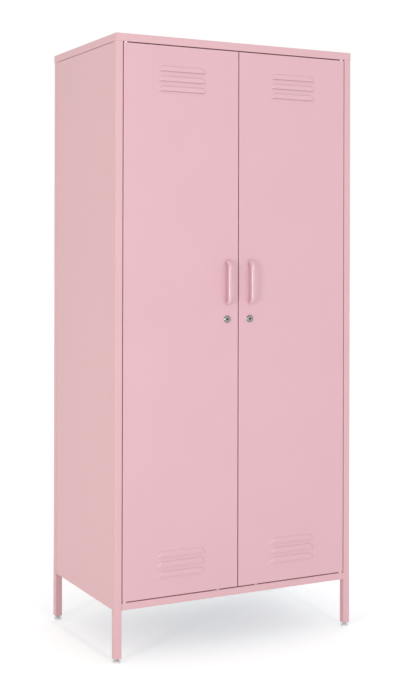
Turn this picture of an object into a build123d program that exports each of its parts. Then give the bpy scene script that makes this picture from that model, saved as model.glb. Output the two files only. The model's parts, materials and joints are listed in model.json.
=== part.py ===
from build123d import *
import os

os.makedirs("parts", exist_ok=True)

# Two-door steel locker cabinet on four legs: folded sheet panels on square tube posts, pressed
# louvres in the doors, a bow handle and a cam lock on each door, and levelling feet.
# Millimetres. +Z is up and the doors face -Y. The origin lies on the floor, in the middle of the
# outline that runs from the handles to the rear edge of the top. Screws are left out.

# ---- Overall sizes ---------------------------------------------------------------------------
width = 800.0
depth = 500.0  # from the door faces to the rear edge of the top
height = 1800.0

# ---- Sheet metal -----------------------------------------------------------------------------
sheet = 0.7
bend_radius = 1.5  # outside of a folded edge
seat_clearance = 0.05  # round a piece that is fixed in a hole, on the radius
running_clearance = 0.05  # round a piece that turns or slides, on the radius
moving_gap = 0.3  # between faces that move past each other

# ---- Corner posts, which run on below the floor as the legs ------------------------------------
post_size = 22.0
post_wall = 1.2
post_radius = 2.0  # along the tube's outer corners
leg_end = 14.0  # height of the open tube end above the ground

# ---- Top, floor, sides and back ----------------------------------------------------------------
top_depth = 23.0
top_flange = 32.0
floor_height = 170.5  # top of the floor panel
floor_depth = 20.5
floor_flange = 15.0
panel_recess = 1.0  # how far the side panels lie behind the faces of the posts
panel_top_gap = 1.5  # between the side panels and the top above them
back_recess = 2.5  # how far the back panel lies inside the rear edge of the top
back_inset = 2.0  # from the side of the cabinet to the edge of the back panel
back_edge_gap = 1.0  # between the back panel and the top above it
wall_hole_radius = 4.0
wall_hole_spacing = 500.0
wall_hole_drop = 100.0  # below the top of the cabinet

# ---- Divider and the strip that the locks catch behind -----------------------------------------
divider_flange = 15.0
strip_width = 44.0
strip_setback = 21.0  # from the door face to the strip
strip_grip = 12.0  # how far the strip's fold holds the divider

# ---- Doors -------------------------------------------------------------------------------------
door_side_gap = 2.5
door_centre_gap = 3.0
door_end_gap = 3.0  # above and below the doors
door_depth = 20.0
door_flange = 12.0
stiffener_width = 60.0
stiffener_depth = 15.0
stiffener_foot = 12.0
stiffener_end_gap = 28.0  # from the stiffener to the nearest louvre

# ---- Pressed louvres ---------------------------------------------------------------------------
louvre_count = 3
louvre_pitch = 29.0
louvre_length = 152.0
louvre_rise = 16.0
louvre_reach = 3.5
louvre_brow = 6.0  # height of the slope over the flat face of a hood
louvre_margin = 58.0  # from the end of the door to the nearest louvre

# ---- Hinges ------------------------------------------------------------------------------------
pivot_inset = 7.5  # from the outer edge of the door
pivot_setback = 6.0  # from the face of the door
pin_radius = 2.5
pin_length = 9.0
bush_radius = 4.0
bush_length = 7.0
bush_flange_radius = 5.0
bush_hole_cut = 3.0  # long enough to pass through the end wall of a door

# ---- Handles -----------------------------------------------------------------------------------
handle_height = 1084.0  # middle of the handle above the ground
handle_inset = 37.4  # from the free edge of the door
handle_grip_length = 88.0  # straight part of the grip
handle_bend = 25.0  # how far each end reaches beyond the straight part
handle_projection = 25.0
handle_bar = 8.0  # thickness of the grip
handle_foot = 10.0  # thickness of each end at the door
handle_width = 12.0
handle_edge_radius = 5.2
handle_screw_radius = 2.0
handle_screw_spacing = 128.0
handle_screw_depth = 8.3

# ---- Locks -------------------------------------------------------------------------------------
lock_height = 974.0
lock_inset = 37.0  # from the free edge of the door
bezel_radius = 11.0
bezel_height = 3.0
bezel_slope = 1.5
barrel_radius = 9.5
barrel_flats = 16.6
barrel_length = 23.0
plug_radius = 6.0
plug_recess = 0.4
keyway_height = 7.5
keyway_width = 1.6
keyway_depth = 14.0
plug_square = 7.0
nut_flats = 24.0
nut_height = 4.0
cam_gap = 0.4  # between the barrel and the cam
cam_thickness = 2.5
cam_reach = 27.0  # from the lock's axis to the cam's tip
cam_hub_radius = 8.0
cam_tip_radius = 5.0

# ---- Shelves and their slotted strips ----------------------------------------------------------
shelf_strip_width = 20.0
shelf_strip_wall = 1.0
divider_strip_depth = 8.0
strip_front_inset = 60.0  # from the door face to the middle of the front strips
strip_back_inset = 50.0  # from the back of the cabinet to the middle of the rear strips
slot_pitch = 75.0
slot_bottom_gap = 200.0  # from the floor panel to the lowest slot
slot_top_gap = 110.0  # at least this much from the highest slot to the top panel
slot_width = 12.0
slot_height = 5.0
slot_end_margin = 20.0
slots_above_shelves = 2
slots_below_hat_shelf = 2
left_shelf_count = 4
shelf_lip = 25.0
shelf_flange = 12.0
shelf_side_gap = 1.5
shelf_setback = 34.0
shelf_back_gap = 6.0
clip_wall = 1.2
clip_width = 11.0
clip_ledge = 12.0
clip_leg = 20.0
clip_hook = 7.0

# ---- Hanging rail ------------------------------------------------------------------------------
rail_radius = 12.5
rail_wall = 1.2
rail_drop = 60.0  # from the shelf above down to the middle of the rail
socket_radius = 22.0
socket_plate = 2.0
socket_wall = 2.0
socket_depth = 12.0
rail_end_gap = 0.5

# ---- Catches and glides ------------------------------------------------------------------------
catch_place = 65.0  # from the middle of the cabinet
catch_length = 40.0
catch_height = 13.0
catch_depth = 11.0
pole_spacing = 5.0
pole_thickness = 1.7
pole_length = 30.0
pole_reach = 0.4
glide_radius = 4.0
glide_setback = 8.0

# ---- Levelling feet ----------------------------------------------------------------------------
insert_flange = 2.0
insert_flange_size = 20.5
insert_length = 25.0
insert_fit = 0.1  # between the insert and the tube, on each side
stud_radius = 4.0
stud_top = 45.0
stud_base = 2.0
stud_hex_flats = 13.0
stud_hex_height = 3.0
pad_radius = 11.0
pad_height = 5.0

# ---- Places worked out from the sizes above ----------------------------------------------------
front = (handle_projection - depth) / 2
back = front + depth
middle = (front + back) / 2
side_x = width / 2
post_face_x = side_x - post_size  # the posts' inner faces
panel_x = side_x - panel_recess  # the side panels' outer faces
panel_inner_x = panel_x - sheet
back_face = back - back_recess
back_inner = back_face - sheet
top_underside = height - top_depth
floor_underside = floor_height - floor_depth
post_x = side_x - post_size / 2
front_post_y = front + post_size / 2
rear_post_y = back_inner - post_size / 2
post_places = {
    "front_left": (-post_x, front_post_y),
    "front_right": (post_x, front_post_y),
    "rear_left": (-post_x, rear_post_y),
    "rear_right": (post_x, rear_post_y),
}

door_bottom = floor_height + door_end_gap
door_top = top_underside - door_end_gap
door_height = door_top - door_bottom
door_inner_x = door_centre_gap / 2
door_outer_x = post_face_x - door_side_gap
door_width = door_outer_x - door_inner_x
door_x = (door_inner_x + door_outer_x) / 2
door_z = (door_bottom + door_top) / 2
pivot_x = door_outer_x - pivot_inset
pivot_y = front + pivot_setback
bush_flange = door_end_gap - moving_gap
handle_x = door_inner_x + handle_inset
lock_x = door_inner_x + lock_inset

louvre_group = (louvre_count - 1) * louvre_pitch
upper_louvres = door_top - louvre_margin - louvre_rise - louvre_group
lower_louvres = door_bottom + louvre_margin
louvre_lips = [
    start + place * louvre_pitch
    for start in (upper_louvres, lower_louvres)
    for place in range(louvre_count)
]
stiffener_bottom = lower_louvres + louvre_group + louvre_rise + stiffener_end_gap
stiffener_top = upper_louvres - stiffener_end_gap

cam_front = front + barrel_length + cam_gap
cam_back = cam_front + cam_thickness

first_slot = floor_height + slot_bottom_gap
slot_count = int((top_underside - slot_top_gap - first_slot) / slot_pitch) + 1
hat_shelf_slot = slot_count - 1 - slots_above_shelves
shelf_step = slot_count // left_shelf_count
left_shelf_slots = [hat_shelf_slot - shelf_step * place for place in range(left_shelf_count)]
left_slots = range(slot_count)
right_slots = range(hat_shelf_slot - slots_below_hat_shelf, slot_count)

strip_front = front + strip_setback
strip_back = strip_front + 2 * sheet
divider_face = sheet / 2
divider_strip_face = divider_face + divider_strip_depth
front_strip_y = front + strip_front_inset
rear_strip_y = back - strip_back_inset
shelf_inner_x = divider_strip_face + shelf_side_gap
shelf_outer_x = post_face_x - shelf_side_gap
shelf_x = (shelf_inner_x + shelf_outer_x) / 2
shelf_front = front + shelf_setback
shelf_back = back_inner - shelf_back_gap
ledge_top = -clip_leg / 2 + clip_wall  # above the middle of the slot


def slot_z(number):
    """Height of the middle of a slot in the shelf strips."""
    return first_slot + number * slot_pitch


def shelf_top(slot):
    """Height of the top of a shelf whose clips hang in this slot."""
    return slot_z(slot) + ledge_top + shelf_lip


rail_z = shelf_top(hat_shelf_slot) - shelf_lip - rail_drop


def save(name, builder):
    """Label a finished piece and write it to its own file."""
    builder.part.label = name
    export_step(builder.part, f"parts/{name}.step")


def plane_facing_front(x, y, z):
    """Plane across the cabinet whose normal points out of the front."""
    return Plane(origin=(x, y, z), x_dir=(1, 0, 0), z_dir=(0, -1, 0))


def folded_tray(plane, length, breadth, tray_depth, flange):
    """Sheet folded to a tray: closed face, four walls and a flange turned in round the opening.

    The plane lies across the open side and its normal points to the closed face.
    """
    with BuildPart() as tray:
        with BuildSketch(plane):
            Rectangle(length, breadth)
        extrude(amount=tray_depth)
        fillet(tray.faces().filter_by(plane).edges(), bend_radius)
        with BuildSketch(plane.offset(sheet)):
            Rectangle(length - 2 * sheet, breadth - 2 * sheet)
        extrude(amount=tray_depth - 2 * sheet, mode=Mode.SUBTRACT)
        with BuildSketch(plane):
            Rectangle(length - 2 * flange, breadth - 2 * flange)
        extrude(amount=sheet, mode=Mode.SUBTRACT)
    return tray.part


# ---- Carcass -----------------------------------------------------------------------------------


def make_top_panel():
    tray = folded_tray(Plane((0, middle, top_underside)), width, depth, top_depth, top_flange)
    with BuildPart() as top_panel:
        add(tray)
    return top_panel


def make_bottom_panel():
    """Floor of the cabinet, notched round the posts and folded down all round."""
    inner_depth = back_inner - front
    tab_depth = inner_depth - 2 * (post_size + sheet)
    tab_y = (front + back_inner) / 2
    with BuildPart() as bottom_panel:
        with BuildSketch(Plane.XY.offset(floor_underside)) as outline:
            with Locations((0, tab_y)):
                Rectangle(2 * post_face_x, inner_depth)
                Rectangle(2 * panel_inner_x, tab_depth)
        extrude(amount=floor_depth)
        front_edges = bottom_panel.edges().filter_by(Axis.X).group_by(Axis.Y)[0]
        fillet(front_edges, bend_radius)
        with BuildSketch(Plane.XY.offset(floor_underside + sheet)):
            add(outline.sketch.faces())
            offset(amount=-sheet, kind=Kind.INTERSECTION, mode=Mode.REPLACE)
        extrude(amount=floor_depth - 2 * sheet, mode=Mode.SUBTRACT)
        with BuildSketch(Plane.XY.offset(floor_underside)):
            with Locations((0, tab_y)):
                Rectangle(2 * (post_face_x - floor_flange), inner_depth - 2 * floor_flange)
        extrude(amount=sheet, mode=Mode.SUBTRACT)
    return bottom_panel


def make_side_panel(side):
    """Sheet between two posts, with a flange against each of them."""
    panel_front = front + post_size
    panel_depth = back_inner - front - 2 * post_size
    flange = panel_x - post_face_x
    with BuildPart() as side_panel:
        with BuildSketch(Plane.XY.offset(floor_underside)) as section:
            with Locations((side * (panel_x - flange / 2), panel_front + panel_depth / 2)):
                Rectangle(flange, panel_depth)
            outer_corners = section.vertices().group_by(Axis.X)[-1 if side > 0 else 0]
            fillet(outer_corners, bend_radius)
            with Locations((side * (panel_inner_x - flange / 2), panel_front + panel_depth / 2)):
                Rectangle(flange, panel_depth - 2 * sheet, mode=Mode.SUBTRACT)
        extrude(amount=top_underside - panel_top_gap - floor_underside)
    return side_panel


def make_back_panel():
    """Flat sheet over the backs of the rear posts, with two holes for fixing to a wall."""
    panel_height = top_underside - back_edge_gap - floor_underside
    panel_z = floor_underside + panel_height / 2
    hole_z = height - wall_hole_drop
    with BuildPart() as back_panel:
        with BuildSketch(plane_facing_front(0, back_face, 0)):
            with Locations((0, panel_z)):
                Rectangle(width - 2 * back_inset, panel_height)
            with Locations((-wall_hole_spacing / 2, hole_z), (wall_hole_spacing / 2, hole_z)):
                Circle(wall_hole_radius, mode=Mode.SUBTRACT)
        extrude(amount=sheet)
    return back_panel


def make_post(place):
    """Square tube from the foot to the top panel."""
    inner_size = post_size - 2 * post_wall
    with BuildPart() as post:
        with BuildSketch(Plane((*post_places[place], leg_end))):
            RectangleRounded(post_size, post_size, post_radius)
            Rectangle(inner_size, inner_size, mode=Mode.SUBTRACT)
        extrude(amount=top_underside - leg_end)
    return post


def make_centre_divider():
    """Single sheet between the two bays, flanged onto the back panel and notched under the top."""
    ceiling = height - sheet
    front_edge = strip_back
    notch_front = front + top_flange
    notch_back = back - top_flange
    with BuildPart() as divider:
        with BuildSketch(Plane.YZ.offset(-divider_face)):
            with BuildLine():
                Polyline(
                    (front_edge, floor_height),
                    (back_inner, floor_height),
                    (back_inner, top_underside),
                    (notch_back, top_underside),
                    (notch_back, ceiling),
                    (notch_front, ceiling),
                    (notch_front, top_underside),
                    (front_edge, top_underside),
                    close=True,
                )
            make_face()
        extrude(amount=sheet)
        with BuildSketch(Plane.XY.offset(floor_height)):
            with Locations((divider_face, back_inner)):
                Rectangle(divider_flange, sheet, align=(Align.MIN, Align.MAX))
        extrude(amount=top_underside - floor_height)
    return divider


def make_centre_strike_strip():
    """Strip folded double behind the gap between the doors; its fold grips the divider."""
    with BuildPart() as strip:
        with BuildSketch(Plane.XY.offset(floor_height)) as section:
            with Locations((0, strip_front)):
                Rectangle(strip_width, 2 * sheet, align=(Align.CENTER, Align.MIN))
            fillet(section.vertices(), sheet / 2)
            with Locations((-sheet, strip_back), (sheet, strip_back)):
                Rectangle(sheet, strip_grip, align=(Align.CENTER, Align.MIN))
        extrude(amount=top_underside - floor_height)
    return strip


# ---- Shelves -----------------------------------------------------------------------------------


def make_shelf_strips(side, slots):
    """Four slotted channels of one bay: two on the side panel and two on the divider."""
    low = slot_z(slots[0]) - slot_end_margin
    high = slot_z(slots[-1]) + slot_end_margin
    channels = ((post_face_x, panel_inner_x, 1), (divider_face, divider_strip_face, -1))
    with BuildPart() as strips:
        for near, far, open_side in channels:
            across = far - near
            centre_x = (near + far) / 2
            with BuildSketch(Plane.XY.offset(low)):
                with Locations((side * centre_x, front_strip_y), (side * centre_x, rear_strip_y)):
                    Rectangle(across, shelf_strip_width)
                opening = side * (centre_x + open_side * shelf_strip_wall)
                with Locations((opening, front_strip_y), (opening, rear_strip_y)):
                    inner_width = shelf_strip_width - 2 * shelf_strip_wall
                    Rectangle(across, inner_width, mode=Mode.SUBTRACT)
            extrude(amount=high - low)
            web = side * (near if open_side > 0 else far)
            with BuildSketch(Plane.YZ.offset(web)):
                for slot in slots:
                    with Locations((front_strip_y, slot_z(slot)), (rear_strip_y, slot_z(slot))):
                        Rectangle(slot_width, slot_height)
            extrude(amount=2 * shelf_strip_wall, both=True, mode=Mode.SUBTRACT)
    return strips


def make_shelf(side, slot):
    low = shelf_top(slot) - shelf_lip
    centre = (side * shelf_x, (shelf_front + shelf_back) / 2, low)
    length = shelf_outer_x - shelf_inner_x
    breadth = shelf_back - shelf_front
    tray = folded_tray(Plane(centre), length, breadth, shelf_lip, shelf_flange)
    with BuildPart() as shelf:
        add(tray)
    return shelf


def make_clip():
    """Bent clip for a strip whose face is the YZ plane: it hooks in behind and carries at +X."""
    hook_face = -shelf_strip_wall - moving_gap
    with BuildPart() as clip:
        with BuildSketch(Plane.XZ):
            Rectangle(clip_wall, clip_leg, align=(Align.MIN, Align.CENTER))
            with Locations((0, -clip_leg / 2)):
                Rectangle(clip_ledge, clip_wall, align=(Align.MIN, Align.MIN))
            with Locations((hook_face - clip_wall, 0)):
                Rectangle(-hook_face + 2 * clip_wall, clip_wall, align=(Align.MIN, Align.CENTER))
            with Locations((hook_face, -clip_wall / 2)):
                Rectangle(clip_wall, clip_hook, align=(Align.MAX, Align.MIN))
        extrude(amount=clip_width / 2, both=True)
    return clip.part


def make_shelf_clips(side, slots):
    """Four clips for each shelf of one bay, one group."""
    clip = make_clip()
    turned = clip.mirror(Plane.YZ)
    with BuildPart() as clips:
        for slot in slots:
            for y in (front_strip_y, rear_strip_y):
                with Locations((side * divider_strip_face, y, slot_z(slot))):
                    add(clip if side > 0 else turned)
                with Locations((side * post_face_x, y, slot_z(slot))):
                    add(turned if side > 0 else clip)
    return clips


# ---- Hanging rail ------------------------------------------------------------------------------


def make_hanging_rail():
    start = divider_face + socket_plate + rail_end_gap
    end = panel_inner_x - socket_plate - rail_end_gap
    with BuildPart() as rail:
        with BuildSketch(Plane(origin=(start, middle, rail_z), z_dir=(1, 0, 0))):
            Circle(rail_radius)
            Circle(rail_radius - rail_wall, mode=Mode.SUBTRACT)
        extrude(amount=end - start)
    return rail


def make_rail_sockets():
    """Two flanged cups that hold the ends of the rail, one group."""
    with BuildPart() as sockets:
        for wall_x, inward in ((divider_face, 1), (panel_inner_x, -1)):
            wall = Plane(origin=(wall_x, middle, rail_z), z_dir=(inward, 0, 0))
            with BuildSketch(wall):
                Circle(socket_radius)
            extrude(amount=socket_plate)
            with BuildSketch(wall.offset(socket_plate)):
                Circle(rail_radius + seat_clearance + socket_wall)
                Circle(rail_radius + seat_clearance, mode=Mode.SUBTRACT)
            extrude(amount=socket_depth)
    return sockets


# ---- Catches and glides ------------------------------------------------------------------------


def make_magnetic_catches():
    """Two magnetic catches under the top panel, one group; each shows two pole plates."""
    catch_front = front + door_depth + moving_gap + pole_reach
    with BuildPart() as catches:
        for side in (-1, 1):
            middle_z = top_underside - catch_height / 2
            face = plane_facing_front(side * catch_place, catch_front, middle_z)
            with BuildSketch(face):
                Rectangle(catch_length, catch_height)
            extrude(amount=-catch_depth)
            with BuildSketch(face):
                with GridLocations(0, pole_spacing, 1, 2):
                    Rectangle(pole_length, pole_thickness)
            extrude(amount=pole_reach)
    return catches


def make_door_glides():
    """Two buttons on the floor panel that the doors' free corners run over, one group."""
    glide_y = front + glide_setback
    with BuildPart() as glides:
        with BuildSketch(Plane.XY.offset(floor_height)):
            with Locations((-catch_place, glide_y), (catch_place, glide_y)):
                Circle(glide_radius)
        extrude(amount=door_end_gap - moving_gap)
    return glides


# ---- Hinges ------------------------------------------------------------------------------------


def make_hinge_pins(side):
    """Welded pins of one door: one hangs from the top panel, one stands on the floor panel."""
    with BuildPart() as pins:
        for seat, outward in ((top_underside, -1), (floor_height, 1)):
            with BuildSketch(Plane(origin=(side * pivot_x, pivot_y, seat), z_dir=(0, 0, outward))):
                Circle(pin_radius)
            extrude(amount=pin_length)
    return pins


def make_hinge_bushes(side):
    """Flanged bushes in the two ends of one door, closed towards the inside of the door."""
    with BuildPart() as bushes:
        for door_end, outward in ((door_top, 1), (door_bottom, -1)):
            base = Plane(origin=(side * pivot_x, pivot_y, door_end), z_dir=(0, 0, outward))
            with BuildSketch(base):
                Circle(bush_flange_radius)
            extrude(amount=bush_flange)
            with BuildSketch(base):
                Circle(bush_radius)
            extrude(amount=-bush_length)
            with BuildSketch(base.offset(bush_flange)):
                Circle(pin_radius + running_clearance)
            extrude(amount=-(bush_length + bush_flange), mode=Mode.SUBTRACT)
    return bushes


# ---- Doors -------------------------------------------------------------------------------------


def louvre_form(base_y, rise, rounded):
    """Hood that stands out from y = base_y, with its lip on the XY plane.

    Its ends are quarter circles seen from the front. Its brow is rounded or else plainly sloped.
    """
    straight = louvre_length - 2 * louvre_rise
    face_y = base_y - louvre_reach
    brow = (face_y, rise - louvre_brow)
    crest = (base_y, rise)
    with BuildSketch() as section:
        with BuildLine():
            if rounded:
                TangentArc(brow, crest, tangent=(0, 1))
            else:
                Line(brow, crest)
            Polyline(crest, (base_y, 0), (face_y, 0), brow)
        make_face()
    with BuildPart() as form:
        with BuildSketch(Plane.YZ.offset(-straight / 2)):
            add(section.sketch)
        extrude(amount=straight)
        for end in (-1, 1):
            with BuildSketch(Plane.YZ.offset(end * straight / 2)):
                add(section.sketch)
            revolve(axis=Axis((end * straight / 2, 0, 0), (0, end, 0)), revolution_arc=90)
    return form.part


def make_door_panel(side):
    """Door pan with its pressed louvres and the holes for handle, lock and hinge bushes."""
    rear = plane_facing_front(door_x, front + door_depth, door_z)
    tray = folded_tray(rear, door_width, door_height, door_depth, door_flange)
    hood = louvre_form(front, louvre_rise, rounded=True)
    hollow = louvre_form(front + sheet, louvre_rise - sheet, rounded=False)
    louvre_places = [(door_x, 0, lip) for lip in louvre_lips]
    with BuildPart() as door:
        add(tray)
        with Locations(*louvre_places):
            add(hood)
            add(hollow, mode=Mode.SUBTRACT)
        with BuildSketch(plane_facing_front(0, front + sheet, 0)):
            half = handle_screw_spacing / 2
            with Locations((handle_x, handle_height - half), (handle_x, handle_height + half)):
                Circle(handle_screw_radius)
            with Locations((lock_x, lock_height)):
                add(barrel_outline(seat_clearance))
        extrude(amount=sheet, mode=Mode.SUBTRACT)
        with Locations((pivot_x, pivot_y, door_top), (pivot_x, pivot_y, door_bottom)):
            Cylinder(bush_radius + seat_clearance, bush_hole_cut, mode=Mode.SUBTRACT)
        if side < 0:
            mirror(about=Plane.YZ, mode=Mode.REPLACE)
    return door


def make_door_stiffener(side):
    """Top-hat channel bonded to the inside of the door between its louvres."""
    with BuildPart() as stiffener:
        with BuildSketch(Plane((side * door_x, front + sheet, stiffener_bottom))):
            Rectangle(stiffener_width, stiffener_depth, align=(Align.CENTER, Align.MIN))
            Rectangle(
                stiffener_width - 2 * sheet,
                stiffener_depth - sheet,
                align=(Align.CENTER, Align.MIN),
                mode=Mode.SUBTRACT,
            )
            for edge in (-1, 1):
                with Locations((edge * stiffener_width / 2, 0)):
                    inward = Align.MIN if edge > 0 else Align.MAX
                    Rectangle(stiffener_foot, sheet, align=(inward, Align.MIN))
        extrude(amount=stiffener_top - stiffener_bottom)
    return stiffener


# ---- Handles -----------------------------------------------------------------------------------


def make_handle(side):
    """Bow handle: a straight grip whose ends curve down to the door."""
    grip_end = handle_grip_length / 2
    grip_back = handle_projection - handle_bar
    outer_foot = grip_end + handle_bend
    inner_foot = outer_foot - handle_foot
    bow = Plane(origin=(side * handle_x, front, handle_height), x_dir=(0, 0, 1), z_dir=(1, 0, 0))
    with BuildPart() as handle:
        with BuildSketch(bow):
            add(bow_outline(outer_foot, grip_end, handle_projection))
        extrude(amount=handle_width / 2, both=True)
        cheeks = handle.edges().group_by(Axis.X)
        rims = (cheeks[0] + cheeks[-1]).group_by(Axis.Y)[:-1]
        fillet([edge for group in rims for edge in group], handle_edge_radius)
        with BuildSketch(bow):
            add(bow_outline(inner_foot, grip_end, grip_back))
        extrude(amount=handle_width / 2, both=True, mode=Mode.SUBTRACT)
        with BuildSketch(plane_facing_front(side * handle_x, front, handle_height)):
            with GridLocations(0, handle_screw_spacing, 1, 2):
                Circle(handle_screw_radius)
        extrude(amount=handle_screw_depth, mode=Mode.SUBTRACT)
    return handle


def bow_outline(foot, grip_end, reach):
    """Outline from one foot to the other, straight along the grip and rounded at its ends."""
    with BuildSketch() as outline:
        with BuildLine():
            TangentArc((grip_end, reach), (foot, 0), tangent=(1, 0))
            TangentArc((-grip_end, reach), (-foot, 0), tangent=(-1, 0))
            Line((-grip_end, reach), (grip_end, reach))
            Line((-foot, 0), (foot, 0))
        make_face()
    return outline.sketch


# ---- Locks -------------------------------------------------------------------------------------


def lock_plane(side, y):
    """Plane across the axis of one lock at this Y, facing out of the front."""
    return plane_facing_front(side * lock_x, y, lock_height)


def barrel_outline(extra):
    """Round barrel with two flats, grown by extra all round."""
    with BuildSketch() as outline:
        Circle(barrel_radius + extra)
        Rectangle(barrel_flats + 2 * extra, 4 * barrel_radius, mode=Mode.INTERSECT)
    return outline.sketch


def make_lock_body(side):
    """Bezel and flatted barrel with the bore that the plug turns in."""
    barrel = barrel_outline(0)
    with BuildPart() as lock_body:
        with BuildSketch(lock_plane(side, front)):
            Circle(bezel_radius)
        extrude(amount=bezel_height)
        chamfer(lock_body.edges().group_by(Axis.Y)[0], bezel_slope)
        with BuildSketch(lock_plane(side, front)):
            add(barrel)
        extrude(amount=-barrel_length)
        with BuildSketch(lock_plane(side, front - bezel_height)):
            Circle(plug_radius + running_clearance)
        extrude(amount=-(bezel_height + barrel_length), mode=Mode.SUBTRACT)
    return lock_body


def make_lock_nut(side):
    with BuildPart() as nut:
        with BuildSketch(lock_plane(side, front + sheet)):
            RegularPolygon(nut_flats / 2, 6, major_radius=False)
            Circle(barrel_radius + seat_clearance, mode=Mode.SUBTRACT)
        extrude(amount=-nut_height)
    return nut


def make_lock_plug(side):
    """Keyed plug that turns in the barrel, with a square end for the cam."""
    face_y = front - bezel_height + plug_recess
    with BuildPart() as plug:
        with BuildSketch(lock_plane(side, face_y)):
            Circle(plug_radius)
        extrude(amount=face_y - cam_front)
        with BuildSketch(lock_plane(side, cam_front)):
            Rectangle(plug_square, plug_square)
        extrude(amount=-cam_thickness)
        with BuildSketch(lock_plane(side, face_y)):
            Rectangle(keyway_width, keyway_height)
        extrude(amount=-keyway_depth, mode=Mode.SUBTRACT)
    return plug


def make_lock_cam(side):
    """Flat cam on the end of the plug, hanging down while the door is unlocked."""
    with BuildPart() as cam:
        with BuildSketch(lock_plane(side, cam_front)):
            Circle(cam_hub_radius)
            with Locations((0, cam_tip_radius - cam_reach)):
                Circle(cam_tip_radius)
            make_hull()
            square = plug_square + 2 * seat_clearance
            Rectangle(square, square, mode=Mode.SUBTRACT)
        extrude(amount=-cam_thickness)
    return cam


# ---- Levelling feet ----------------------------------------------------------------------------


def make_leg_inserts():
    """Threaded plugs in the four tube ends, one group."""
    plug_size = post_size - 2 * post_wall - 2 * insert_fit
    with BuildPart() as inserts:
        with BuildSketch(Plane.XY.offset(leg_end)):
            with Locations(*post_places.values()):
                Rectangle(insert_flange_size, insert_flange_size)
        extrude(amount=-insert_flange)
        with BuildSketch(Plane.XY.offset(leg_end)):
            with Locations(*post_places.values()):
                Rectangle(plug_size, plug_size)
        extrude(amount=insert_length)
        with BuildSketch(Plane.XY.offset(leg_end - insert_flange)):
            with Locations(*post_places.values()):
                Circle(stud_radius + running_clearance)
        extrude(amount=insert_flange + insert_length, mode=Mode.SUBTRACT)
    return inserts


def make_foot_pad(place):
    """Round pad of one foot, with the socket that its stud is pressed into."""
    with BuildPart() as pad:
        with BuildSketch(Plane((*post_places[place], 0))):
            Circle(pad_radius)
        extrude(amount=pad_height)
        with BuildSketch(Plane((*post_places[place], stud_base))):
            Circle(stud_radius + seat_clearance)
        extrude(amount=pad_height - stud_base, mode=Mode.SUBTRACT)
    return pad


def make_foot_stud(place):
    """Stud of one foot, with the hexagon that it is turned by."""
    with BuildPart() as stud:
        with BuildSketch(Plane((*post_places[place], stud_base))):
            Circle(stud_radius)
        extrude(amount=stud_top - stud_base)
        with BuildSketch(Plane((*post_places[place], pad_height))):
            RegularPolygon(stud_hex_flats / 2, 6, major_radius=False)
        extrude(amount=stud_hex_height)
    return stud


# ---- Every piece, written to its own file ------------------------------------------------------

save("top_panel", make_top_panel())
save("bottom_panel", make_bottom_panel())
save("back_panel", make_back_panel())
save("centre_divider", make_centre_divider())
save("centre_strike_strip", make_centre_strike_strip())
save("left_shelf_strips", make_shelf_strips(-1, left_slots))
save("right_shelf_strips", make_shelf_strips(1, right_slots))
for number, slot in enumerate(reversed(left_shelf_slots), start=1):
    save(f"left_shelf_{number}", make_shelf(-1, slot))
save("hat_shelf", make_shelf(1, hat_shelf_slot))
save("left_shelf_clips", make_shelf_clips(-1, left_shelf_slots))
save("hat_shelf_clips", make_shelf_clips(1, (hat_shelf_slot,)))
save("hanging_rail", make_hanging_rail())
save("rail_sockets", make_rail_sockets())
save("magnetic_catches", make_magnetic_catches())
save("door_glides", make_door_glides())
save("leg_inserts", make_leg_inserts())
for place in post_places:
    save(f"{place}_post", make_post(place))
    save(f"{place}_foot_pad", make_foot_pad(place))
    save(f"{place}_foot_stud", make_foot_stud(place))
for hand, side in (("left", -1), ("right", 1)):
    save(f"{hand}_side_panel", make_side_panel(side))
    save(f"{hand}_hinge_pins", make_hinge_pins(side))
    save(f"{hand}_hinge_bushes", make_hinge_bushes(side))
    save(f"{hand}_door_panel", make_door_panel(side))
    save(f"{hand}_door_stiffener", make_door_stiffener(side))
    save(f"{hand}_handle", make_handle(side))
    save(f"{hand}_lock_body", make_lock_body(side))
    save(f"{hand}_lock_nut", make_lock_nut(side))
    save(f"{hand}_lock_plug", make_lock_plug(side))
    save(f"{hand}_lock_cam", make_lock_cam(side))
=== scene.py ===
import json
import math

import bmesh
import bpy
from mathutils import Matrix, Vector


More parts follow.
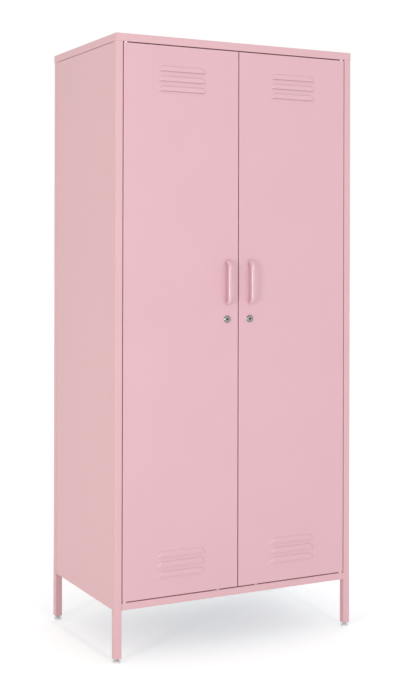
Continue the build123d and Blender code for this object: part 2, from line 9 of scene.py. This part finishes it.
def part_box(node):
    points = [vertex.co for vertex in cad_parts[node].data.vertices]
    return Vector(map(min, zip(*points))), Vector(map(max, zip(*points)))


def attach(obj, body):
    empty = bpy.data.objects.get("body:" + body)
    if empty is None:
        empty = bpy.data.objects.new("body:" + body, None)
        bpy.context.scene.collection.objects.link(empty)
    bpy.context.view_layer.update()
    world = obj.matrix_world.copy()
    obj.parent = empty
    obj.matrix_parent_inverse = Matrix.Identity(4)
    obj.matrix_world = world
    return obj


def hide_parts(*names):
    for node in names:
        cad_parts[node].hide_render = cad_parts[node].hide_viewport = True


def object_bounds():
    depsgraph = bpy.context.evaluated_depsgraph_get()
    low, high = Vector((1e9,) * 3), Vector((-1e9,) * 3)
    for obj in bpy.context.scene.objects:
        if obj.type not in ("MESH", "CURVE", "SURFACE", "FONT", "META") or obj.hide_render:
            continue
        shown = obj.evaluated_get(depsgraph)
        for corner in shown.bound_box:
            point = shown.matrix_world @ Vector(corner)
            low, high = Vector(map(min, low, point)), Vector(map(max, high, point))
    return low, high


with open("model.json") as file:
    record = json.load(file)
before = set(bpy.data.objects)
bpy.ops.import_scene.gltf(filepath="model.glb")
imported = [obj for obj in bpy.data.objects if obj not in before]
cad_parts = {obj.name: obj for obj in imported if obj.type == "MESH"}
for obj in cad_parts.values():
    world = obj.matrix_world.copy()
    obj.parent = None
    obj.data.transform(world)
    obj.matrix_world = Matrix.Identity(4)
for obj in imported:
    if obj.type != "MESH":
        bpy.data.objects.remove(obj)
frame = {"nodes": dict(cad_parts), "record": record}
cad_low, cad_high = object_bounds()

# A pink steel locker cabinet in a white studio. Metres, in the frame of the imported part: +Z is up
# and the doors face -Y. The cabinet's own panels come from the frame and get their finishes here.
# The small fasteners, the threads and the lock faces are built below and ride on its bodies.

MM = 0.001

# ---- Camera, to the left of the doors and a little above the middle ------------------------------
CAMERA_RIGHT = -1.803  # from the middle of the carcass
CAMERA_BACK = -3.516  # from the middle of the carcass
CAMERA_HEIGHT = 1.183
CAMERA_TURN = 27.48  # degrees to the right
CAMERA_TILT = 0.121  # degrees upwards
CAMERA_ROLL = 0.138  # degrees
FOCAL_LENGTH = 64.04  # millimetres, on a sensor of this width
SENSOR_WIDTH = 36
SHIFT_X = -0.0061
SHIFT_Y = -0.148

# ---- Light and floor -----------------------------------------------------------------------------
DOME_LEFT = (0.765, 0.665, 0.60)  # light from the studio's left wall
DOME_RIGHT = (0.70, 0.71, 0.77)  # and from its right wall
BACKDROP_WHITE = 1.0
FLOOR_WHITE = (0.93, 0.93, 0.93)  # as a reflector
# The seen colour's channels and those of the lifts are uneven, which paints the floor's shadow cool
# grey in place of the pink light bounced onto it from the cabinet.
FLOOR_SEEN = (1.0, 0.84, 0.81)  # to the camera, which also sees the lift
FLOOR_LIFT = (0.165, 0.365, 0.39)
FLOOR_FAR_LIFT = (0.39, 0.53, 0.55)
# The lift is lower near the cabinet, which paints the floor darker round it and deepens its shadow.
FLOOR_NEAR = 0.1  # distances from the cabinet's middle, between which the lift grows
FLOOR_FAR = 1.1
FLOOR_REACH = 40.0
FLOOR_TOP = -0.2 * MM  # just clear of the pads
FLOOR_UNDERSIDE = -20 * MM
FLOOR_DRIFT_SIZE = 0.8
FLOOR_DRIFT = 0.004
FLOOR_ROUGHNESS = 0.9
SOFTBOXES = (
    # name, azimuth in degrees, distance, height, width, tallness, power in watts, colour
    ("left_softbox", -57, 5.0, 1.0, 0.7, 1.0, 52, (1.08, 1.0, 1.0)),
    ("front_softbox", -1, 7.0, 2.3, 0.4, 0.5, 97, (1.0, 1.0, 1.0)),
)

# ---- Colours, linear -----------------------------------------------------------------------------
DOOR_PINK = (0.715, 0.456, 0.508)
FRAME_PINK = (0.705, 0.457, 0.491)
# a little darker than the frame's pink: painted shade in the gaps round the doors and inside
SHADED_INNER_PINK = (0.70, 0.44, 0.475)
HANDLE_PINK = (0.69, 0.46, 0.50)
LOCK_NICKEL = (0.31, 0.31, 0.315)
# darker copy of the lock's metal for each bezel's rim: painted shade and dark reflection on its slope
RIM_SHADE_NICKEL = (0.20, 0.20, 0.205)
RAIL_CHROME = (0.70, 0.70, 0.71)
ZINC = (0.66, 0.66, 0.67)
GREY_PLASTIC = (0.55, 0.53, 0.51)
NATURAL_NYLON = (0.90, 0.89, 0.86)
PAD_GREY = (0.92, 0.92, 0.92)
# black of a disc on each lock's plug: painted shade of the keyway's recess
KEYWAY_SHADE_BLACK = (0.02, 0.02, 0.022)

# ---- Grain of the finishes -----------------------------------------------------------------------
PAINT_DRIFT_SIZE = 0.22  # slow changes over a panel
PAINT_DRIFT = 0.012
PAINT_ROUGHNESS_DRIFT = 0.03
PEEL_SIZE = 1.6 * MM
PEEL_DEPTH = 0.02 * MM
CLEAR_COAT_ROUGHNESS = 0.18
METAL_ROUGHNESS_SPREAD = 0.2  # as a share of the roughness
METAL_MARK_DEPTH = 0.01 * MM
PLASTIC_GRAIN_SIZE = 0.7 * MM
PLASTIC_GRAIN_DEPTH = 0.03 * MM
PLASTIC_SPREAD = 0.03
PLASTIC_ROUGHNESS_SPREAD = 0.05

# ---- Fasteners -----------------------------------------------------------------------------------
SCREW_HEAD_RADIUS = 4.0 * MM
SCREW_HEAD_HEIGHT = 2.0 * MM
HEAD_RIM = 0.55  # height of a head's upright edge, as a share of its height
RECESS_FLOOR = 0.3  # as a share of a head's height
RECESS_REACH = 0.55  # as a share of a head's radius
RECESS_HALF_WIDTH = 0.13
BACK_SCREWS_PER_SIDE = 6
BACK_SCREW_MARGIN = 45 * MM
SHEET = 0.7 * MM  # of the doors
HANDLE_SCREW_SPACING = 128 * MM
CAM_SCREW_RADIUS = 3.5 * MM
CAM_SCREW_HEIGHT = 2.5 * MM
SOCKET_PLATE = 2.0 * MM
SOCKET_SCREW_RADIUS = 2.6 * MM
SOCKET_SCREW_HEIGHT = 1.2 * MM
SOCKET_SCREW_OFFSET = 18.3 * MM  # above and below the rail's middle
CATCH_SCREW_RADIUS = 2.4 * MM
CATCH_SCREW_HEIGHT = 1.0 * MM
CATCH_SCREW_OFFSET = 13 * MM  # to each side of a catch's middle
CATCH_HALF_WIDTH = 20 * MM

# ---- Levelling feet ------------------------------------------------------------------------------
STUD_RADIUS = 4.0 * MM
THREAD_PITCH = 1.25 * MM
THREAD_DEPTH = 0.6 * MM
FOOT_NUT_WIDTH = 13 * MM  # across its flats
FOOT_NUT_LOW = 3.0 * MM  # above the stud's lower end
FOOT_NUT_HIGH = 6.0 * MM

# ---- Lock faces ----------------------------------------------------------------------------------
BEZEL_HEIGHT = 3.0 * MM
BEZEL_SLOPE = 1.5 * MM
RIM_THICKNESS = 0.08 * MM
# a dark disc on each plug with the keyway's slot through it: painted shade of the recess
KEYWAY_SHADE_RADIUS = 3.4 * MM
KEYWAY_SHADE_THICKNESS = 0.25 * MM
KEYWAY_SHADE_SLOT_LENGTH = 5.4 * MM
KEYWAY_SHADE_SLOT_WIDTH = 1.4 * MM


# ---- Materials -----------------------------------------------------------------------------------


def tinted(colour, factor):
    """The colour made lighter or darker, with its alpha."""
    return tuple(min(channel * factor, 1.0) for channel in colour) + (1.0,)


def new_material(name):
    material = bpy.data.materials.new(name)
    material.use_nodes = True
    return material, material.node_tree, material.node_tree.nodes["Principled BSDF"]


def add_noise(tree, coordinates, size, detail):
    """Noise whose features are about this size in metres."""
    noise = tree.nodes.new("ShaderNodeTexNoise")
    noise.inputs["Scale"].default_value = 1 / size
    noise.inputs["Detail"].default_value = detail
    tree.links.new(coordinates, noise.inputs["Vector"])
    return noise.outputs["Fac"]


def object_coordinates(tree, stretch=(1, 1, 1)):
    """Coordinates of the piece, with its features made longer along an axis by stretch."""
    source = tree.nodes.new("ShaderNodeTexCoord")
    mapping = tree.nodes.new("ShaderNodeMapping")
    mapping.inputs["Scale"].default_value = [1 / factor for factor in stretch]
    tree.links.new(source.outputs["Object"], mapping.inputs["Vector"])
    return mapping.outputs["Vector"]


def vary_colour(tree, shader, fac, colour, spread):
    """Base colour that drifts by spread to each side of the colour."""
    ramp = tree.nodes.new("ShaderNodeValToRGB")
    ramp.color_ramp.elements[0].position = 0.3
    ramp.color_ramp.elements[1].position = 0.7
    ramp.color_ramp.elements[0].color = tinted(colour, 1 - spread)
    ramp.color_ramp.elements[1].color = tinted(colour, 1 + spread)
    tree.links.new(fac, ramp.inputs["Fac"])
    tree.links.new(ramp.outputs["Color"], shader.inputs["Base Color"])


def vary_roughness(tree, shader, fac, middle, spread):
    """Roughness that drifts by spread to each side of its middle."""
    span = tree.nodes.new("ShaderNodeMapRange")
    span.inputs["To Min"].default_value = middle - spread
    span.inputs["To Max"].default_value = middle + spread
    tree.links.new(fac, span.inputs["Value"])
    tree.links.new(span.outputs["Result"], shader.inputs["Roughness"])


def add_bump(tree, shader, height, depth, strength):
    bump = tree.nodes.new("ShaderNodeBump")
    bump.inputs["Strength"].default_value = strength
    bump.inputs["Distance"].default_value = depth
    tree.links.new(height, bump.inputs["Height"])
    tree.links.new(bump.outputs["Normal"], shader.inputs["Normal"])


def powder_coat(name, colour, roughness, peel=0.25, gloss=0.0):
    """Powder coat: hardly any drift in colour, and the faint orange peel of a baked finish."""
    material, tree, shader = new_material(name)
    coordinates = object_coordinates(tree)
    drift = add_noise(tree, coordinates, PAINT_DRIFT_SIZE, 3)
    vary_colour(tree, shader, drift, colour, PAINT_DRIFT)
    vary_roughness(tree, shader, drift, roughness, PAINT_ROUGHNESS_DRIFT)
    add_bump(tree, shader, add_noise(tree, coordinates, PEEL_SIZE, 2), PEEL_DEPTH, peel)
    shader.inputs["Specular IOR Level"].default_value = 0.5
    shader.inputs["Coat Weight"].default_value = gloss
    shader.inputs["Coat Roughness"].default_value = CLEAR_COAT_ROUGHNESS
    return material


def bare_metal(name, colour, roughness, grain, stretch=(1, 1, 1), spread=0.06):
    """Plated or brushed metal: fine marks along one axis and slightly uneven plating."""
    material, tree, shader = new_material(name)
    coordinates = object_coordinates(tree, stretch)
    marks = add_noise(tree, coordinates, grain, 4)
    vary_colour(tree, shader, marks, colour, spread)
    vary_roughness(tree, shader, marks, roughness, roughness * METAL_ROUGHNESS_SPREAD)
    add_bump(tree, shader, marks, METAL_MARK_DEPTH, 0.2)
    shader.inputs["Metallic"].default_value = 1.0
    return material


def moulded_plastic(name, colour, roughness, clearness=0.0):
    """Moulded plastic with a fine spark-eroded grain; clearness lets light through it."""
    material, tree, shader = new_material(name)
    coordinates = object_coordinates(tree)
    grain = add_noise(tree, coordinates, PLASTIC_GRAIN_SIZE, 3)
    vary_colour(tree, shader, grain, colour, PLASTIC_SPREAD)
    vary_roughness(tree, shader, grain, roughness, PLASTIC_ROUGHNESS_SPREAD)
    add_bump(tree, shader, grain, PLASTIC_GRAIN_DEPTH, 0.3)
    shader.inputs["Transmission Weight"].default_value = clearness
    return material


FINISHES = {
    "frame_paint": powder_coat("frame_paint", FRAME_PINK, 0.40),
    "door_paint": powder_coat("door_paint", DOOR_PINK, 0.24),
    "inner_paint": powder_coat("inner_paint", SHADED_INNER_PINK, 0.42),
    "handle_paint": powder_coat("handle_paint", HANDLE_PINK, 0.20, peel=0.1, gloss=1.0),
    "lock_chrome": bare_metal("lock_chrome", LOCK_NICKEL, 0.22, grain=2 * MM),
    "rail_chrome": bare_metal(
        "rail_chrome", RAIL_CHROME, 0.10, grain=3 * MM, stretch=(12, 1, 1), spread=0.03
    ),
    "zinc_steel": bare_metal("zinc_steel", ZINC, 0.32, grain=1.2 * MM, stretch=(1, 1, 4)),
    "moulded_plastic": moulded_plastic("moulded_plastic", GREY_PLASTIC, 0.5),
    "nylon": moulded_plastic("nylon", NATURAL_NYLON, 0.45),
    "pad_plastic": moulded_plastic("pad_plastic", PAD_GREY, 0.35, clearness=0.1),
}
# painted shade of each lock's keyway recess
KEYWAY_SHADE_PLASTIC = moulded_plastic("keyway_shade_plastic", KEYWAY_SHADE_BLACK, 0.45)
# painted shade and dark reflection on the rim and slope of each lock's bezel
LOCK_RIM_SHADE = bare_metal("lock_rim_shade", RIM_SHADE_NICKEL, 0.18, grain=2 * MM)


def dress_frame():
    """Every CAD node gets the finish of its slot in the record."""
    for row in frame["record"]["subparts"]:
        node = frame["nodes"][row["node"]]
        finish = FINISHES[row["material_slot"]]
        if node.material_slots:
            for place in node.material_slots:
                place.material = finish
        else:
            node.data.materials.append(finish)


# ---- Making pieces -------------------------------------------------------------------------------


def shape_of(bm, smooth_angle=35):
    """Mesh from a bmesh, smooth except over edges sharper than the angle."""
    bmesh.ops.remove_doubles(bm, verts=bm.verts, dist=1e-7)
    bmesh.ops.recalc_face_normals(bm, faces=bm.faces)
    for face in bm.faces:
        face.smooth = True
    limit = math.radians(smooth_angle)
    for edge in bm.edges:
        if len(edge.link_faces) == 2 and edge.calc_face_angle(0) > limit:
            edge.smooth = False
    mesh = bpy.data.meshes.new("shape")
    bm.to_mesh(mesh)
    bm.free()
    return mesh


def lathe(profile, segments=48):
    """Solid of revolution about +Z. Its (radius, z) points run from axis to axis or close a loop."""
    bm = bmesh.new()
    rings = []
    for radius, z in profile:
        if radius == 0:
            rings.append([bm.verts.new((0, 0, z))])
            continue
        angles = [2 * math.pi * step / segments for step in range(segments)]
        ring = [bm.verts.new((radius * math.cos(a), radius * math.sin(a), z)) for a in angles]
        rings.append(ring)
    for lower, upper in zip(rings, rings[1:]):
        for step in range(segments):
            corners = [lower[step % len(lower)], lower[(step + 1) % len(lower)]]
            corners += [upper[(step + 1) % len(upper)], upper[step % len(upper)]]
            bm.faces.new(dict.fromkeys(corners))
    return shape_of(bm)


def prism(outline, low, high):
    """Solid between two heights with this outline in the XY plane."""
    bm = bmesh.new()
    bottom = [bm.verts.new((x, y, low)) for x, y in outline]
    top = [bm.verts.new((x, y, high)) for x, y in outline]
    bm.faces.new(bottom)
    bm.faces.new(top)
    for step, corner in enumerate(bottom):
        following = (step + 1) % len(bottom)
        bm.faces.new((corner, bottom[following], top[following], top[step]))
    return shape_of(bm)


def carved(mesh, *cutters):
    """The mesh with the cutters taken out of it."""
    piece = bpy.data.objects.new("carving", mesh)
    bpy.context.collection.objects.link(piece)
    tools = []
    for cutter in cutters:
        tool = bpy.data.objects.new("cutter", cutter)
        bpy.context.collection.objects.link(tool)
        modifier = piece.modifiers.new("cut", "BOOLEAN")
        modifier.operation = "DIFFERENCE"
        modifier.solver = "EXACT"
        modifier.object = tool
        tools.append(tool)
    bpy.context.view_layer.update()
    cut = piece.evaluated_get(bpy.context.evaluated_depsgraph_get())
    result = bpy.data.meshes.new_from_object(cut)
    for spent in [piece, *tools]:
        bpy.data.objects.remove(spent)
    bm = bmesh.new()
    bm.from_mesh(result)
    return shape_of(bm)


def gathered(meshes, places):
    """One mesh that holds all the given ones at each place."""
    bm = bmesh.new()
    for place in places:
        start = len(bm.verts)
        for mesh in meshes:
            bm.from_mesh(mesh)
        bm.verts.ensure_lookup_table()
        bmesh.ops.transform(bm, matrix=place, verts=bm.verts[start:])
    whole = bpy.data.meshes.new("gathered")
    bm.to_mesh(whole)
    bm.free()
    return whole


def seat(x, y, z, outward):
    """Placement at a point with the piece's own +Z turned to point outward."""
    turn = Vector(outward).to_track_quat("Z", "Y").to_matrix().to_4x4()
    return Matrix.Translation((x, y, z)) @ turn


def add_piece(name, mesh, finish, body):
    piece = bpy.data.objects.new(name, mesh)
    bpy.context.collection.objects.link(piece)
    mesh.materials.clear()
    mesh.materials.append(finish)
    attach(piece, body)
    return piece


# ---- Screws --------------------------------------------------------------------------------------


def arc_steps(count):
    """Angles from 0 to a quarter turn, both ends included."""
    return [math.pi / 2 * step / count for step in range(count + 1)]


def cross_screw_head(radius, height):
    """Pan head, seated at z = 0, with a cross recess."""
    rim = height * HEAD_RIM
    dome = [(radius * math.sin(t), rim + (height - rim) * math.cos(t)) for t in arc_steps(8)]
    head = lathe([(0, 0), (radius, 0), (radius, rim), *reversed(dome)])
    arm, half = radius * RECESS_REACH, radius * RECESS_HALF_WIDTH
    floor = height * RECESS_FLOOR
    bars = [[(-arm, -half), (arm, -half), (arm, half), (-arm, half)]]
    bars.append([(-y, x) for x, y in bars[0]])
    return carved(head, *[prism(bar, floor, 2 * height) for bar in bars])


def add_screws(name, head, places, body):
    add_piece(name, gathered([head], places), FINISHES["zinc_steel"], body)


def make_handle_screws():
    """Heads of the screws that hold each handle, inside its door."""
    head = cross_screw_head(SCREW_HEAD_RADIUS, SCREW_HEAD_HEIGHT)
    for hand in ("left", "right"):
        low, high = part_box(f"{hand}_handle")
        middle = (low + high) / 2
        places = [
            seat(middle.x, high.y + SHEET, middle.z + side * HANDLE_SCREW_SPACING / 2, (0, 1, 0))
            for side in (-1, 1)
        ]
        add_screws(f"{hand}_handle_screws", head, places, f"{hand}_door")


def make_cam_screws():
    """Screw that holds each lock's cam to the end of its plug."""
    head = cross_screw_head(CAM_SCREW_RADIUS, CAM_SCREW_HEIGHT)
    for hand in ("left", "right"):
        plug_low, plug_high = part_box(f"{hand}_lock_plug")
        middle = (plug_low + plug_high) / 2
        cam_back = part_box(f"{hand}_lock_cam")[1].y
        place = seat(middle.x, cam_back, middle.z, (0, 1, 0))
        add_screws(f"{hand}_cam_screw", head, [place], f"{hand}_lock")


def make_socket_screws():
    """Two screws through the plate of each socket that carries the hanging rail."""
    head = cross_screw_head(SOCKET_SCREW_RADIUS, SOCKET_SCREW_HEIGHT)
    low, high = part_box("rail_sockets")
    middle = (low + high) / 2
    plates = ((low.x + SOCKET_PLATE, (1, 0, 0)), (high.x - SOCKET_PLATE, (-1, 0, 0)))
    places = [
        seat(x, middle.y, middle.z + side * SOCKET_SCREW_OFFSET, outward)
        for x, outward in plates
        for side in (-1, 1)
    ]
    add_screws("rail_socket_screws", head, places, "cabinet")


def make_catch_screws():
    """Two screws up through each magnetic catch."""
    head = cross_screw_head(CATCH_SCREW_RADIUS, CATCH_SCREW_HEIGHT)
    low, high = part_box("magnetic_catches")
    middle = (low + high) / 2
    places = [
        seat(catch_x + side * CATCH_SCREW_OFFSET, middle.y, low.z, (0, 0, -1))
        for catch_x in (low.x + CATCH_HALF_WIDTH, high.x - CATCH_HALF_WIDTH)
        for side in (-1, 1)
    ]
    add_screws("catch_screws", head, places, "cabinet")


def make_back_screws():
    """A row of screws down each side of the back panel, into the rear posts."""
    head = cross_screw_head(SCREW_HEAD_RADIUS, SCREW_HEAD_HEIGHT)
    back_low, back_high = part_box("back_panel")
    posts = [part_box(f"rear_{hand}_post") for hand in ("left", "right")]
    lowest = back_low.z + BACK_SCREW_MARGIN
    step = (back_high.z - BACK_SCREW_MARGIN - lowest) / (BACK_SCREWS_PER_SIDE - 1)
    places = [
        seat((low.x + high.x) / 2, back_high.y, lowest + step * row, (0, 1, 0))
        for low, high in posts
        for row in range(BACK_SCREWS_PER_SIDE)
    ]
    add_screws("back_panel_screws", head, places, "cabinet")


# ---- Locks ---------------------------------------------------------------------------------------


def make_lock_rim_shades():
    """A darker copy of the lock's metal round the edge and the slope of each bezel: painted shade and
    a painted dark reflection on the slope.
    """
    for hand in ("left", "right"):
        low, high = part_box(f"{hand}_lock_body")
        middle = (low + high) / 2
        reach = (high.x - low.x) / 2
        outside = reach + RIM_THICKNESS
        mouth = reach - BEZEL_SLOPE
        shoulder = BEZEL_HEIGHT - BEZEL_SLOPE
        inner = [(mouth, BEZEL_HEIGHT), (reach, shoulder), (reach, 0)]
        outer = [(outside, 0), (outside, shoulder), (mouth, BEZEL_HEIGHT + RIM_THICKNESS)]
        rim = lathe([*inner, *outer, inner[0]])
        place = seat(middle.x, low.y + BEZEL_HEIGHT, middle.z, (0, -1, 0))
        mesh = gathered([rim], [place])
        add_piece(f"{hand}_lock_rim_shade", mesh, LOCK_RIM_SHADE, f"{hand}_door")


def make_keyway_shades():
    """Dark slotted disc over each lock's keyway: painted shade for the dark recess of the keyway and
    plug.
    """
    edge = KEYWAY_SHADE_RADIUS
    disc = lathe([(0, 0), (edge, 0), (edge, KEYWAY_SHADE_THICKNESS), (0, KEYWAY_SHADE_THICKNESS)])
    across, up = KEYWAY_SHADE_SLOT_WIDTH / 2, KEYWAY_SHADE_SLOT_LENGTH / 2
    slot = [(-across, -up), (across, -up), (across, up), (-across, up)]
    keyway_shade = carved(disc, prism(slot, -KEYWAY_SHADE_THICKNESS, 2 * KEYWAY_SHADE_THICKNESS))
    for hand in ("left", "right"):
        low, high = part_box(f"{hand}_lock_plug")
        place = Matrix.Translation(((low.x + high.x) / 2, low.y, (low.z + high.z) / 2))
        outward = Matrix.Rotation(math.pi / 2, 4, "X")
        mesh = gathered([keyway_shade], [place @ outward])
        add_piece(f"{hand}_lock_keyway_shade", mesh, KEYWAY_SHADE_PLASTIC, f"{hand}_lock")


# ---- Levelling feet ------------------------------------------------------------------------------


def threaded_shank(low, high, segments=24, rings_per_turn=4):
    """Shank with a V thread that runs up between two heights, with plain faces at its ends."""
    bm = bmesh.new()
    count = round((high - low) / THREAD_PITCH * rings_per_turn)
    rings = []
    for row in range(count + 1):
        z = low + (high - low) * row / count
        ring = []
        for step in range(segments):
            phase = ((z - low) / THREAD_PITCH - step / segments) % 1
            radius = STUD_RADIUS - THREAD_DEPTH * abs(2 * phase - 1)
            angle = 2 * math.pi * step / segments
            ring.append(bm.verts.new((radius * math.cos(angle), radius * math.sin(angle), z)))
        rings.append(ring)
    for lower, upper in zip(rings, rings[1:]):
        for step in range(segments):
            following = (step + 1) % segments
            bm.faces.new((lower[step], lower[following], upper[following], upper[step]))
    bm.faces.new(rings[0])
    bm.faces.new(rings[-1])
    return shape_of(bm)


def make_foot_studs():
    """Threaded studs with their nuts, in the places of the plain ones."""
    corner = FOOT_NUT_WIDTH / math.sqrt(3)
    turns = [math.pi * side / 3 for side in range(6)]
    hexagon = [(corner * math.cos(turn), corner * math.sin(turn)) for turn in turns]
    nut = prism(hexagon, FOOT_NUT_LOW, FOOT_NUT_HIGH)
    for place in ("front_left", "front_right", "rear_left", "rear_right"):
        node = f"{place}_foot_stud"
        low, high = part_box(node)
        middle = (low + high) / 2
        shank = threaded_shank(FOOT_NUT_HIGH, high.z - low.z)
        plain = lathe([(0, 0), (STUD_RADIUS, 0), (STUD_RADIUS, FOOT_NUT_HIGH), (0, FOOT_NUT_HIGH)])
        origin = Matrix.Translation((middle.x, middle.y, low.z))
        stud = gathered([shank, plain, nut], [origin])
        finish = FINISHES["zinc_steel"]
        piece = add_piece(f"{place}_threaded_stud", stud, finish, f"{place}_foot")
        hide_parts(node)


# ---- Stage, light and camera ---------------------------------------------------------------------


def seen_directly(tree):
    """1 where the camera sees a thing straight, in a reflection or through glass, and 0 elsewhere."""
    path = tree.nodes.new("ShaderNodeLightPath")
    mirrored = tree.nodes.new("ShaderNodeMath")
    mirrored.operation = "MAXIMUM"
    tree.links.new(path.outputs["Is Camera Ray"], mirrored.inputs[0])
    tree.links.new(path.outputs["Is Glossy Ray"], mirrored.inputs[1])
    through = tree.nodes.new("ShaderNodeMath")
    through.operation = "MAXIMUM"
    tree.links.new(mirrored.outputs["Value"], through.inputs[0])
    tree.links.new(path.outputs["Is Transmission Ray"], through.inputs[1])
    return through.outputs["Value"]


def floor_lift(tree, coordinates):
    """How much the seen floor is lifted: less round the cabinet, which paints the floor darker there
    and deepens its shadow.
    """
    away = tree.nodes.new("ShaderNodeVectorMath")
    away.operation = "LENGTH"
    tree.links.new(coordinates, away.inputs[0])
    spread = tree.nodes.new("ShaderNodeMapRange")
    spread.inputs["From Min"].default_value = FLOOR_NEAR
    spread.inputs["From Max"].default_value = FLOOR_FAR
    tree.links.new(away.outputs["Value"], spread.inputs["Value"])
    lift = tree.nodes.new("ShaderNodeValToRGB")
    lift.color_ramp.elements[0].color = (*FLOOR_LIFT, 1)
    lift.color_ramp.elements[1].color = (*FLOOR_FAR_LIFT, 1)
    tree.links.new(spread.outputs["Result"], lift.inputs["Fac"])
    return lift.outputs["Color"]


def dull(tree, shader, fac, colour):
    """Matt surface without any shine."""
    vary_colour(tree, shader, fac, colour, FLOOR_DRIFT)
    shader.inputs["Roughness"].default_value = FLOOR_ROUGHNESS
    shader.inputs["Specular IOR Level"].default_value = 0.0


def make_floor():
    """White floor; what the camera sees of it is lifted so that it meets the white backdrop."""
    reach = FLOOR_REACH
    outline = [(-reach, -reach), (reach, -reach), (reach, reach), (-reach, reach)]
    mesh = prism(outline, FLOOR_UNDERSIDE, FLOOR_TOP)
    floor = bpy.data.objects.new("studio_floor", mesh)
    bpy.context.collection.objects.link(floor)
    material, tree, shader = new_material("studio_floor")
    coordinates = object_coordinates(tree)
    drift = add_noise(tree, coordinates, FLOOR_DRIFT_SIZE, 2)
    dull(tree, shader, drift, FLOOR_WHITE)
    shown = tree.nodes.new("ShaderNodeBsdfPrincipled")
    dull(tree, shown, drift, FLOOR_SEEN)
    tree.links.new(floor_lift(tree, coordinates), shown.inputs["Emission Color"])
    shown.inputs["Emission Strength"].default_value = 1.0
    choice = tree.nodes.new("ShaderNodeMixShader")
    tree.links.new(seen_directly(tree), choice.inputs["Fac"])
    tree.links.new(shader.outputs["BSDF"], choice.inputs[1])
    tree.links.new(shown.outputs["BSDF"], choice.inputs[2])
    tree.links.new(choice.outputs["Shader"], tree.nodes["Material Output"].inputs["Surface"])
    mesh.materials.append(material)


def make_world():
    """White to the camera and in reflections, softer as a light."""
    world = bpy.data.worlds.new("studio")
    bpy.context.scene.world = world
    world.use_nodes = True
    tree = world.node_tree
    tree.nodes.clear()
    direction = tree.nodes.new("ShaderNodeTexCoord")
    sides = tree.nodes.new("ShaderNodeSeparateXYZ")
    tree.links.new(direction.outputs["Generated"], sides.inputs["Vector"])
    across = tree.nodes.new("ShaderNodeMapRange")
    across.inputs["From Min"].default_value = -1.0
    tree.links.new(sides.outputs["X"], across.inputs["Value"])
    walls = tree.nodes.new("ShaderNodeValToRGB")
    walls.color_ramp.elements[0].color = (*DOME_LEFT, 1)
    walls.color_ramp.elements[1].color = (*DOME_RIGHT, 1)
    tree.links.new(across.outputs["Result"], walls.inputs["Fac"])
    ambient = tree.nodes.new("ShaderNodeBackground")
    tree.links.new(walls.outputs["Color"], ambient.inputs["Color"])
    ambient.inputs["Strength"].default_value = 1.0
    backdrop = tree.nodes.new("ShaderNodeBackground")
    backdrop.inputs["Color"].default_value = (1, 1, 1, 1)
    backdrop.inputs["Strength"].default_value = BACKDROP_WHITE
    choice = tree.nodes.new("ShaderNodeMixShader")
    tree.links.new(seen_directly(tree), choice.inputs["Fac"])
    tree.links.new(ambient.outputs["Background"], choice.inputs[1])
    tree.links.new(backdrop.outputs["Background"], choice.inputs[2])
    output = tree.nodes.new("ShaderNodeOutputWorld")
    tree.links.new(choice.outputs["Shader"], output.inputs["Surface"])


def make_softboxes():
    """Rectangular lamps that stand round the cabinet and face its middle."""
    middle = (cad_low + cad_high) / 2
    for name, azimuth, distance, height, width, tallness, power, colour in SOFTBOXES:
        lamp = bpy.data.lights.new(name, "AREA")
        lamp.shape = "RECTANGLE"
        lamp.size = width
        lamp.size_y = tallness
        lamp.energy = power
        lamp.color = colour
        holder = bpy.data.objects.new(name, lamp)
        bpy.context.collection.objects.link(holder)
        turn = math.radians(azimuth)
        x = middle.x + distance * math.sin(turn)
        y = middle.y - distance * math.cos(turn)
        holder.location = (x, y, height)
        holder.rotation_euler = (holder.location - middle).to_track_quat("Z", "Y").to_euler()


def make_camera():
    low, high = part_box("top_panel")
    camera = bpy.data.cameras.new("camera")
    camera.sensor_width = SENSOR_WIDTH
    camera.lens = FOCAL_LENGTH
    camera.shift_x = SHIFT_X
    camera.shift_y = SHIFT_Y
    holder = bpy.data.objects.new("camera", camera)
    bpy.context.collection.objects.link(holder)
    turn = Matrix.Rotation(math.radians(-CAMERA_TURN), 4, "Z")
    tilt = Matrix.Rotation(math.radians(90 + CAMERA_TILT), 4, "X")
    roll = Matrix.Rotation(math.radians(CAMERA_ROLL), 4, "Z")
    carcass_middle = (low + high) / 2
    place = (carcass_middle.x + CAMERA_RIGHT, carcass_middle.y + CAMERA_BACK, CAMERA_HEIGHT)
    holder.matrix_world = Matrix.Translation(place) @ turn @ tilt @ roll
    bpy.context.scene.camera = holder


dress_frame()
make_handle_screws()
make_cam_screws()
make_socket_screws()
make_catch_screws()
make_back_screws()
make_lock_rim_shades()
make_keyway_shades()
make_foot_studs()
make_floor()
make_world()
make_softboxes()
make_camera()
bpy.context.scene.view_settings.view_transform = "Standard"
